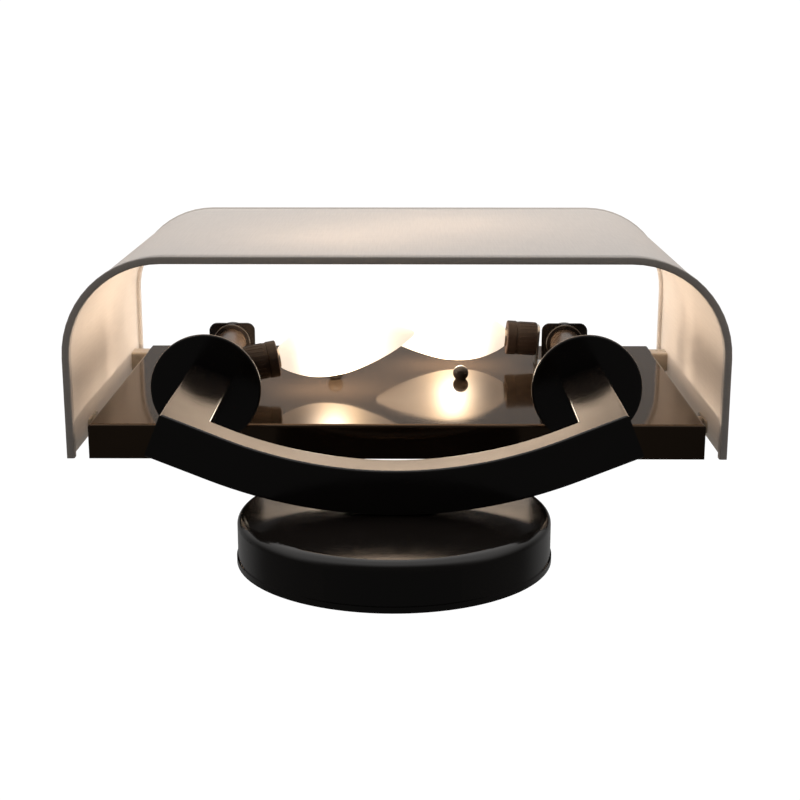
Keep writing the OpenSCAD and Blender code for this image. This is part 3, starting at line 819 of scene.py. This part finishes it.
class ShadeForm:
    """The shade's U as seen from above, read from its lower rim and its linen."""

    def __init__(self, settings):
        self.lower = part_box("shade_lower_rim")
        self.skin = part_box("shade_skin")
        self.corner = settings.corner_radius
        self.half = self.lower[1].x
        self.front = self.lower[0].y
        self.back = self.lower[1].y
        self.proud = self.half - self.skin[1].x

    def run(self, inset):
        """Length of the U at a distance inside the rims' outer face."""
        side = self.back - self.front - self.corner
        return 2 * side + math.pi * (self.corner - inset) + 2 * (self.half - self.corner)

    def sweep(self, bm, verts, edges, corner_steps=14, straight_steps=10):
        """Carries a section from the left back edge round to the right back edge."""
        side = Vector((0, self.front + self.corner - self.back, 0))
        across = Vector((2 * (self.half - self.corner), 0, 0))
        centre_y = self.front + self.corner
        geom = self._straight(bm, verts, edges, side, straight_steps)
        geom = self._turn(bm, geom, Vector((self.corner - self.half, centre_y, 0)), corner_steps)
        geom = self._straight(bm, *geom, across, straight_steps * 2)
        geom = self._turn(bm, geom, Vector((self.half - self.corner, centre_y, 0)), corner_steps)
        return self._straight(bm, *geom, -side, straight_steps)

    def _straight(self, bm, verts, edges, run, steps):
        for _ in range(steps):
            verts, edges = verts_and_edges(bmesh.ops.extrude_edge_only(bm, edges=edges)["geom"])
            bmesh.ops.translate(bm, verts=verts, vec=run / steps)
        return verts, edges

    def _turn(self, bm, geom, centre, steps):
        verts, edges = geom
        quarter = math.radians(90)
        made = bmesh.ops.spin(bm, geom=verts + edges, cent=centre, axis=UP, angle=quarter, steps=steps)
        return verts_and_edges(made["geom_last"])

    def along(self, place):
        """Distance round the U of the point nearest to place, from the left back edge."""
        side = self.back - self.front - self.corner
        turn = math.pi / 2 * self.corner
        straight = 2 * (self.half - self.corner)
        centre_y = self.front + self.corner
        if place.y > centre_y:
            near = self.back - place.y
            return near if place.x < 0 else 2 * side + 2 * turn + straight - near
        if abs(place.x) < self.half - self.corner:
            return side + turn + place.x + straight / 2
        hub = math.copysign(self.half - self.corner, place.x)
        angle = math.atan2(centre_y - place.y, abs(place.x - hub))
        arc = angle * self.corner
        return side + arc if place.x < 0 else side + 2 * turn + straight - arc


def unroll(bm, form):
    """UV map of a shade piece: distance round the U and height, in metres."""
    layer = bm.loops.layers.uv.new("flat cloth")
    for face in bm.faces:
        for loop in face.loops:
            loop[layer].uv = (form.along(loop.vert.co), loop.vert.co.z)


def rim_section(bm, form, box, thickness, roundness):
    """Rounded section of a rolled rim at the left back edge, which runs out flush into the linen."""
    outer = -form.half
    inner = outer + thickness
    flush = outer + form.proud
    low, high = box[0].z, box[1].z
    is_lower = box[0].z < form.skin[0].z
    foot, head = (outer, flush) if is_lower else (flush, outer)
    corners = [(foot, low), (inner, low), (inner, high), (head, high)]
    verts, edges = line(bm, [(x, form.back, z) for x, z in corners])
    edges.append(bm.edges.new((verts[-1], verts[0])))
    bmesh.ops.bevel(
        bm,
        geom=verts,
        offset=roundness,
        offset_type="OFFSET",
        affect="VERTICES",
        segments=5,
        profile=0.5,
        material=-1,
    )
    return list(bm.verts), list(bm.edges)


class SCONCE_OT_shade_cloth(bpy.types.Operator):
    """Lays the linen and its backing round the U of the shade"""

    bl_idname = "sconce.shade_cloth"
    bl_label = "Shade Linen"
    ROWS = 24

    def execute(self, context):
        settings = context.scene.sconce_shade
        form = ShadeForm(settings)
        low = form.skin[0].z - settings.tuck
        height = form.skin[1].z + settings.tuck - low
        bm = bmesh.new()
        levels = [low + height * i / self.ROWS for i in range(self.ROWS + 1)]
        verts, edges = line(bm, [(form.proud - form.half, form.back, z) for z in levels])
        form.sweep(bm, verts, edges)
        unroll(bm, form)
        linen = linen_finish("linen", tuple(settings.linen), settings.weave, settings.passes)
        lining = linen_finish("shade lining", tuple(settings.lining), settings.weave, settings.passes)
        cloth = new_piece("shade_linen", bm, linen)
        cloth.data.materials.append(lining)
        wall = cloth.modifiers.new("backing", "SOLIDIFY")
        wall.thickness = settings.cloth_thickness
        wall.offset = -1
        wall.material_offset = 1
        wall.use_rim = True
        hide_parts("shade_skin")
        return {"FINISHED"}


class SCONCE_OT_shade_rims(bpy.types.Operator):
    """Rolls the linen over the shade's lower and upper edge"""

    bl_idname = "sconce.shade_rims"
    bl_label = "Shade Rims"
    PASSES = 0.12

    def execute(self, context):
        settings = context.scene.sconce_shade
        form = ShadeForm(settings)
        material = linen_finish("rim linen", tuple(settings.rim_linen), settings.weave, self.PASSES)
        for level in ("lower", "upper"):
            node = f"shade_{level}_rim"
            bm = bmesh.new()
            size = (settings.rim_thickness, settings.rim_roundness)
            verts, edges = rim_section(bm, form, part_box(node), *size)
            first = list(edges)
            last = form.sweep(bm, verts, edges)[1]
            for ring in (first, last):
                bmesh.ops.edgeloop_fill(bm, edges=ring)
            unroll(bm, form)
            roll = new_piece(f"shade_{level}_roll", bm, material, smooth_angle=50)
            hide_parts(node)
        return {"FINISHED"}


# Lamps and lampholders


class LampAxis:
    """Where a lamp's axis runs, read from its joint, its lampholder, its cap and its glass."""

    def __init__(self, side):
        joint = next(j for j in frame["joints"] if j["name"] == f"{side}_bulb_out")
        self.out = Vector(joint["axis"]).normalized()
        self.body = joint["child"]
        holder = frame["nodes"][f"{side}_lampholder"].data
        glass = frame["nodes"][f"{side}_bulb_glass"].data
        cap = frame["nodes"][f"{side}_bulb_cap"].data
        across = self.out.orthogonal().normalized()
        ways = (self.out, across, self.out.cross(across))
        self.centre = sum((way * self.halfway(holder, way) for way in ways), Vector())
        self.holder = self.reach(holder)
        self.cap = self.reach(cap)
        self.glass = self.reach(glass)
        self.holder_r = self.radius(holder)
        self.glass_r = self.radius(glass)
        self.cap_r = self.radius(cap)

    def halfway(self, mesh, way):
        """Middle of a mesh's first and last distance along a way from the origin."""
        alongs = [v.co.dot(way) for v in mesh.vertices]
        return (min(alongs) + max(alongs)) / 2

    def reach(self, mesh):
        """First and last distance of a mesh along the axis from the holder's middle."""
        alongs = [(v.co - self.centre).dot(self.out) for v in mesh.vertices]
        return min(alongs), max(alongs)

    def radius(self, mesh):
        ways = [v.co - self.centre for v in mesh.vertices]
        return max((way - self.out * way.dot(self.out)).length for way in ways)

    def at(self, along):
        return self.centre + self.out * along


def smooth_outline(points, steps=6):
    """Rounds a chain of (along, radius) points with a curve through all of them."""
    ends = [points[0], *points, points[-1]]
    curve = []
    for before, start, stop, after in zip(ends, ends[1:], ends[2:], ends[3:]):
        for i in range(steps):
            t = i / steps
            weights = (
                -0.5 * t + t**2 - 0.5 * t**3,
                1 - 2.5 * t**2 + 1.5 * t**3,
                0.5 * t + 2 * t**2 - 1.5 * t**3,
                -0.5 * t**2 + 0.5 * t**3,
            )
            near = (before, start, stop, after)
            curve.append([sum(w * p[k] for w, p in zip(weights, near)) for k in (0, 1)])
    return [*curve, points[-1]]


# Share of the glass's length from its neck, share of its greatest radius
BULB_SHARES = (
    (0, 0.37),
    (0.02, 0.45),
    (0.05, 0.555),
    (0.09, 0.665),
    (0.13, 0.763),
    (0.18, 0.86),
    (0.23, 0.925),
    (0.29, 0.975),
    (0.35, 0.998),
    (0.4, 1),
    (0.47, 0.985),
    (0.55, 0.92),
    (0.63, 0.83),
    (0.71, 0.72),
    (0.79, 0.585),
    (0.86, 0.443),
    (0.92, 0.3),
    (0.96, 0.19),
    (0.987, 0.1),
    (1, 0),
)


def hidden_light(name, kind, place, power, colour):
    """A light that is seen neither straight nor in a mirror."""
    data = bpy.data.lights.new(name, kind)
    data.energy = power
    data.color = colour
    light = bpy.data.objects.new(name, data)
    light.location = place
    light.visible_camera = False
    light.visible_glossy = False
    bpy.context.scene.collection.objects.link(light)
    return data


class SCONCE_OT_lamps(bpy.types.Operator):
    """Blows the frosted torpedo glasses and threads their caps"""

    bl_idname = "sconce.lamps"
    bl_label = "Lamps"

    def execute(self, context):
        lamp = context.scene.sconce_lamp
        cap_metal = brass_finish("lamp cap", CAP_METAL, roughness=0.3)
        for side in SIDES:
            axis = LampAxis(side)
            glass_start = axis.cap[1]
            length = axis.glass[1] - glass_start
            shares = smooth_outline(BULB_SHARES)
            outline = [(glass_start + length * a, axis.glass_r * min(r, 1)) for a, r in shares]
            foot = glass_start - NECK_SUNK
            neck_r = axis.cap_r - NECK_INSIDE_CAP
            bm = bmesh.new()
            neck = [(foot, 0), (foot, neck_r), (glass_start, neck_r)]
            lathe(bm, neck + outline, axis.at(0), axis.out)
            ends = (axis.at(glass_start), axis.at(axis.glass[1]))
            lit = lit_glass_finish(f"{side} lit glass", *ends, lamp)
            glass = new_piece(f"{side}_torpedo_glass", bm, lit, axis.body)
            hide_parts(f"{side}_bulb_glass")
            glass.visible_shadow = False
            power = lamp.filament_power / len(LIGHT_SHARES)
            for part, share in enumerate(LIGHT_SHARES, 1):
                place = axis.at(glass_start + length * share)
                light = hidden_light(f"{side}_filament_{part}", "POINT", place, power, lamp.light)
                light.shadow_soft_size = lamp.light_radius
            cap = new_piece(f"{side}_threaded_cap", self.cap(axis), cap_metal, axis.body)
            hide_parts(f"{side}_bulb_cap")
        return {"FINISHED"}

    def cap(self, axis):
        """Screw cap: solder tip, insulator cone, threaded wall and a plain collar."""
        first, last = axis.cap
        r = axis.cap_r
        outline = [
            *((first + along * MM, CAP_TIP_R * share) for along, share in CAP_TIP),
            (first + CAP_CONE, r - CAP_DEPTH),
            *((last - along * MM, r - inset * MM) for along, inset in CAP_COLLAR),
        ]
        bm = bmesh.new()
        lathe(bm, outline, axis.at(0), axis.out, steps=48)
        start = first + CAP_THREAD_STARTS
        length = last - CAP_THREAD_STOPS - start
        thread(bm, axis.at(start), axis.out, r, length, CAP_PITCH, CAP_DEPTH * CAP_FOOT, steps=24)
        return bm


class SCONCE_OT_lampholders(bpy.types.Operator):
    """Moulds the candelabra lampholders with their stepped collars and ribs"""

    bl_idname = "sconce.lampholders"
    bl_label = "Lampholders"

    def execute(self, context):
        lamp = context.scene.sconce_lamp
        phenolic = phenolic_finish(tuple(lamp.phenolic))
        for side in SIDES:
            axis = LampAxis(side)
            bm = bmesh.new()
            lathe(bm, self.outline(axis), axis.at(0), axis.out)
            self.ribs(bm, axis)
            holder = new_piece(f"{side}_moulded_holder", bm, phenolic)
            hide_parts(f"{side}_lampholder")
        return {"FINISHED"}

    def outline(self, axis):
        base, mouth = axis.holder
        collar_r = axis.holder_r
        body_r = collar_r - HOLDER_LIP
        floor = base + HOLDER_FLOOR
        shoulder = mouth - HOLDER_COLLAR
        return [
            (floor, WIRE_HOLE_R),
            (base, WIRE_HOLE_R),
            (base, body_r - HOLDER_CHAMFER),
            (base + HOLDER_CHAMFER, body_r),
            (shoulder - 2 * HOLDER_LIP, body_r),
            (shoulder, collar_r - HOLDER_CHAMFER),
            (shoulder + HOLDER_CHAMFER, collar_r),
            (mouth - HOLDER_CHAMFER, collar_r),
            (mouth, collar_r - HOLDER_CHAMFER),
            (mouth, HOLDER_BORE_R + HOLDER_CHAMFER),
            (mouth - HOLDER_CHAMFER, HOLDER_BORE_R),
            (floor, HOLDER_BORE_R),
            (floor, WIRE_HOLE_R),
        ]

    def ribs(self, bm, axis):
        """Shallow ribs round the body, half sunk in it, for a grip on the holder."""
        base, mouth = axis.holder
        start = base + RIB_ABOVE_BASE
        stop = mouth - RIB_BELOW_MOUTH
        for i in range(RIBS):
            turn = Matrix.Rotation(math.tau * i / RIBS, 3, axis.out)
            outwards = turn @ axis.out.orthogonal().normalized()
            sideways = axis.out.cross(outwards)
            centre = axis.at((start + stop) / 2) + outwards * (axis.holder_r - HOLDER_LIP)
            sides = (axis.out * (stop - start), sideways * RIB_WIDTH, outwards * RIB_HEIGHT)
            rib = block(bm, centre, sides)
            ease_edges(bm, list({e for v in rib for e in v.link_edges}), RIB_EDGE)


# Fasteners


def out_of_wall(box):
    """Way that a screw's head faces: away from the wall."""
    return FRONT


def to_middle(box):
    """Way that a screw's head faces: towards the middle of the sconce."""
    return -ACROSS if middle(box).x > 0 else ACROSS


# Piece, CAD node, way that the heads face, slot
SCREWS = (
    ("bracket_pan_heads", "bracket_screws", out_of_wall, "dark_steel"),
    ("strap_pan_heads", "strap_screws", out_of_wall, "dark_steel"),
    ("shade_pan_heads", "shade_screws", to_middle, "zinc_steel"),
)

# Piece, CAD node, distance across flats, radius of the bore, slot
NUTS = (
    ("bracket_hex_nuts", "bracket_nuts", SMALL_NUT, 2.05 * MM, "zinc_steel"),
    ("strap_hex_nuts", "strap_nuts", SMALL_NUT, 2.05 * MM, "zinc_steel"),
    ("stud_hex_nuts", "stud_nuts", SMALL_NUT, 2.15 * MM, "zinc_steel"),
    ("wall_bar_hex_nut", "wall_bar_nut", BIG_NUT, 4.9 * MM, "brass"),
    ("canopy_hex_nut", "canopy_nut", BIG_NUT, 4.9 * MM, "brass"),
)

# Piece, CAD node, axis, size, slot
RODS = (
    ("pan_threaded_studs", "pan_studs", FRONT, STUD, "zinc_steel"),
    ("long_nipple", "centre_nipple", FRONT, NIPPLE, "brass"),
    ("left_nipple", "left_disc_nipple", UP, NIPPLE, "brass"),
    ("right_nipple", "right_disc_nipple", UP, NIPPLE, "brass"),
)


def length_of(box, axis):
    return abs((box[1] - box[0]).dot(axis))


def cross(bm, top, axis):
    """Two crossed blades, let into a screw's head and a little proud of it, that stand for its slots."""
    depth = SCREW_HEAD_T * CROSS_DEPTH
    sideways = axis.orthogonal().normalized()
    other = axis.cross(sideways)
    long_side = SCREW_HEAD_R * CROSS_LONG
    short_side = SCREW_HEAD_R * CROSS_WIDE
    for long_way, short_way in ((sideways, other), (other, sideways)):
        sides = (long_way * long_side, short_way * short_side, axis * depth)
        block(bm, top - axis * depth * CROSS_SUNK, sides)


def screws(node, way_of):
    """Pan-head screws with a thread, one for each solid of the CAD node."""
    bm = bmesh.new()
    root = SCREW_R * SCREW_ROOT
    for box in solids_of(node):
        axis = way_of(box)
        length = length_of(box, axis)
        top = middle(box) + axis * length / 2
        outline = [
            *((-under * MM, SCREW_HEAD_R * share) for under, share in SCREW_HEAD),
            (-SCREW_HEAD_T, root),
            (SCREW_POINT - length, root),
            (-length, SCREW_R * SCREW_POINT_R),
            (-length, 0),
        ]
        lathe(bm, outline, top, axis, steps=32)
        seat = top - axis * SCREW_HEAD_T
        threaded = length - SCREW_HEAD_T - SCREW_PLAIN_END
        thread(bm, seat, -axis, SCREW_R, threaded, SCREW_PITCH, SCREW_R * SCREW_DEPTH, steps=16)
        cross(bm, top, axis)
    return bm


def nuts(node, across_flats, bore_r):
    """Hexagonal nuts with both faces chamfered, one for each solid of the CAD node."""
    bm = bmesh.new()
    point_r = across_flats / 2 / math.cos(math.pi / NUT_SIDES)
    turn = FRONT.to_track_quat("Z", "Y").to_matrix().to_4x4()
    for box in solids_of(node):
        one = bmesh.new()
        bmesh.ops.create_cone(
            one,
            segments=NUT_SIDES,
            radius1=point_r,
            radius2=point_r,
            depth=length_of(box, FRONT),
            cap_ends=True,
            matrix=Matrix.Translation(middle(box)) @ turn,
        )
        faces = [f for f in one.faces if len(f.verts) == NUT_SIDES]
        wall = across_flats / 2 - bore_r - NUT_GAP
        bmesh.ops.inset_individual(one, faces=faces, thickness=wall)
        bmesh.ops.delete(one, geom=faces, context="FACES")
        bmesh.ops.bridge_loops(one, edges=[e for e in one.edges if e.is_boundary])
        ease_edges(one, [e for e in one.edges if e.calc_face_angle(0) > NUT_EDGE_ANGLE], NUT_CHAMFER)
        mesh = bpy.data.meshes.new("one nut")
        one.to_mesh(mesh)
        one.free()
        bm.from_mesh(mesh)
        bpy.data.meshes.remove(mesh)
    return bm


def rods(node, axis, radius, bore_r, pitch):
    """Threaded rods or nipples, one for each solid of the CAD node."""
    bm = bmesh.new()
    depth = pitch * ROD_DEPTH
    root = radius - depth
    cut = ROD_CHAMFER
    for box in solids_of(node):
        length = length_of(box, axis)
        start = middle(box) - axis * length / 2
        outline = [
            (cut, bore_r),
            (0, bore_r + cut / 2),
            (0, root - cut / 2),
            (cut, root),
            (length - cut, root),
            (length, root - cut / 2),
            (length, bore_r + cut / 2),
            (length - cut, bore_r),
            (cut, bore_r),
        ]
        lathe(bm, outline, start, axis, steps=40)
        first = start + axis * ROD_PLAIN_END
        threaded = length - 2 * ROD_PLAIN_END
        thread(bm, first, axis, radius, threaded, pitch, depth * ROD_FOOT, steps=24)
    return bm


class SCONCE_OT_fasteners(bpy.types.Operator):
    """Cuts the screws, nuts, studs and threaded nipples"""

    bl_idname = "sconce.fasteners"
    bl_label = "Fasteners"

    def execute(self, context):
        metal = context.scene.sconce_metal
        zinc = zinc_finish(tuple(metal.zinc))
        brass = brass_finish("threaded brass", tuple(metal.brass), roughness=0.28)
        dark = enamel_finish("blackened steel", BLACK_STEEL)
        finishes = {"dark_steel": dark, "zinc_steel": zinc, "brass": brass}
        made = [(name, node, screws(node, way_of), slot) for name, node, way_of, slot in SCREWS]
        made += [(name, node, nuts(node, *size), slot) for name, node, *size, slot in NUTS]
        made += [(name, node, rods(node, axis, **size), slot) for name, node, axis, size, slot in RODS]
        for name, node, bm, slot in made:
            piece = new_piece(name, bm, finishes[slot])
            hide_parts(node)
        wear(("ground_screw",), enamel_finish("green enamel", GREEN_ENAMEL))
        wear(ZINC_NODES, zinc)
        wear(WHITE_NODES, enamel_finish("warm white lacquer", tuple(metal.white)))
        wear(BRASS_NODES, brass)
        return {"FINISHED"}


class SCONCE_OT_lacquer(bpy.types.Operator):
    """Lacquers the canopy, bar, arms, discs, tubes, brackets and pan"""

    bl_idname = "sconce.lacquer"
    bl_label = "Lacquered Metal"

    def execute(self, context):
        metal = context.scene.sconce_metal
        colour = tuple(metal.lacquer)
        deep = shade_of(colour, 0.7)
        fine = 0.008 * MM
        satin = lacquer_finish("satin bronze lacquer", colour, metal.lacquer_roughness, ripple=0.02 * MM)
        wear(BRONZE_NODES, satin)
        wear(GLOSS_NODES, lacquer_finish("gloss bronze lacquer", deep, roughness=0.1, ripple=fine))
        wear(TUBE_NODES, lacquer_finish("warm bronze lacquer", TUBE_BROWN, roughness=0.16, ripple=fine))
        polished = lacquer_finish(
            "polished bronze lacquer",
            tuple(metal.pan),
            metal.pan_roughness,
            ripple=0.003 * MM,
            metallic=0.8,
            tint=tuple(metal.pan_edge),
        )
        wear(("pan",), polished)
        return {"FINISHED"}


# Stage


class SCONCE_OT_studio(bpy.types.Operator):
    """Sets up the camera, the pale floor and the soft light"""

    bl_idname = "sconce.studio"
    bl_label = "Studio"

    def execute(self, context):
        stage = context.scene.sconce_stage
        self.camera(context.scene, stage)
        self.floor(context.scene, stage)
        fill = hidden_light("fill", "AREA", stage.fill_place, stage.fill_power, FILL_COLOUR)
        fill.size = stage.fill_size
        self.light(context.scene)
        context.scene.view_settings.view_transform = "Standard"
        return {"FINISHED"}

    def camera(self, scene, stage):
        """Looks up along the wall from under the sconce, pitched towards the pan's face."""
        view = UP * math.cos(stage.camera_pitch) - FRONT * math.sin(stage.camera_pitch)
        view = Matrix.Rotation(stage.camera_yaw, 3, FRONT) @ view
        right = view.cross(FRONT).normalized()
        above = right.cross(view).normalized()
        data = bpy.data.cameras.new("camera")
        data.lens = stage.camera_lens
        data.sensor_width = PICTURE_WIDTH
        data.clip_start = NEAREST
        camera = bpy.data.objects.new("camera", data)
        turn = Matrix((right, above, -view)).transposed().to_4x4()
        camera.matrix_world = Matrix.Translation(stage.camera_place) @ turn
        scene.collection.objects.link(camera)
        scene.camera = camera

    def floor(self, scene, stage):
        bm = bmesh.new()
        place = Matrix.Translation((0, 0, -stage.floor_drop))
        bmesh.ops.create_grid(bm, x_segments=4, y_segments=4, size=stage.floor_size / 2, matrix=place)
        mesh = bpy.data.meshes.new("floor")
        bm.to_mesh(mesh)
        bm.free()
        floor = bpy.data.objects.new("floor", mesh)
        mesh.materials.append(floor_finish())
        scene.collection.objects.link(floor)
        floor.visible_glossy = False
        floor.visible_diffuse = False

    def light(self, scene):
        """White backdrop, with a soft light that fades from the shade's front to the dark below."""
        world = bpy.data.worlds.new("studio")
        scene.world = world
        world.use_nodes = True
        world.node_tree.nodes.clear()
        sky = Nodes(world.node_tree)
        direction = sky.add("ShaderNodeTexCoord").outputs["Generated"]
        parts = sky.add("ShaderNodeSeparateXYZ", {0: direction}).outputs
        level = self.rise(sky, parts["Z"], FROM_ABOVE)
        front = self.rise(sky, parts["Y"], FROM_FRONT)
        lift = self.rise(sky, parts["Z"], NOT_FROM_BELOW)
        strength = sky.math("ADD", level, sky.math("MULTIPLY", front, lift))
        soft = sky.add("ShaderNodeBackground", {"Color": rgba(SOFT_COLOUR), "Strength": strength})
        white = {"Color": rgba(TRUE_WHITE), "Strength": BACKDROP_STRENGTH}
        seen = sky.add("ShaderNodeBackground", white)
        straight = sky.add("ShaderNodeLightPath").outputs["Is Camera Ray"]
        both = sky.add("ShaderNodeMixShader", {0: straight, 1: soft.outputs[0], 2: seen.outputs[0]})
        sky.add("ShaderNodeOutputWorld", {"Surface": both.outputs[0]})

    def rise(self, sky, value, limits):
        """Smooth rise or fall between two values, held beyond them."""
        inputs = {"Value": value, **limits}
        return sky.add("ShaderNodeMapRange", inputs, interpolation_type="SMOOTHSTEP").outputs[0]


class SCONCE_PT_panel(bpy.types.Panel):
    """Lists the steps that dress the sconce"""

    bl_idname = "SCONCE_PT_panel"
    bl_label = "Two-Arm Wall Sconce"
    bl_space_type = "VIEW_3D"
    bl_region_type = "UI"
    bl_category = "Sconce"

    def draw(self, context):
        for group in SETTINGS:
            box = self.layout.box()
            for name in SETTINGS[group].__annotations__:
                box.prop(getattr(context.scene, group), name)
        for step in STEPS:
            self.layout.operator(step.bl_idname)


SETTINGS = {
    "sconce_metal": MetalSettings,
    "sconce_shade": ShadeSettings,
    "sconce_lamp": LampSettings,
    "sconce_stage": StageSettings,
}
STEPS = (
    SCONCE_OT_studio,
    SCONCE_OT_lacquer,
    SCONCE_OT_fasteners,
    SCONCE_OT_lampholders,
    SCONCE_OT_lamps,
    SCONCE_OT_shade_cloth,
    SCONCE_OT_shade_rims,
)


def register():
    for group in (*SETTINGS.values(), *STEPS, SCONCE_PT_panel):
        bpy.utils.register_class(group)
    for name, group in SETTINGS.items():
        setattr(bpy.types.Scene, name, bpy.props.PointerProperty(type=group))


def unregister():
    for name in SETTINGS:
        delattr(bpy.types.Scene, name)
    for group in reversed((*SETTINGS.values(), *STEPS, SCONCE_PT_panel)):
        bpy.utils.unregister_class(group)


def main():
    register()
    for step in STEPS:
        family, name = step.bl_idname.split(".")
        getattr(getattr(bpy.ops, family), name)()


if __name__ == "__main__":
    main()
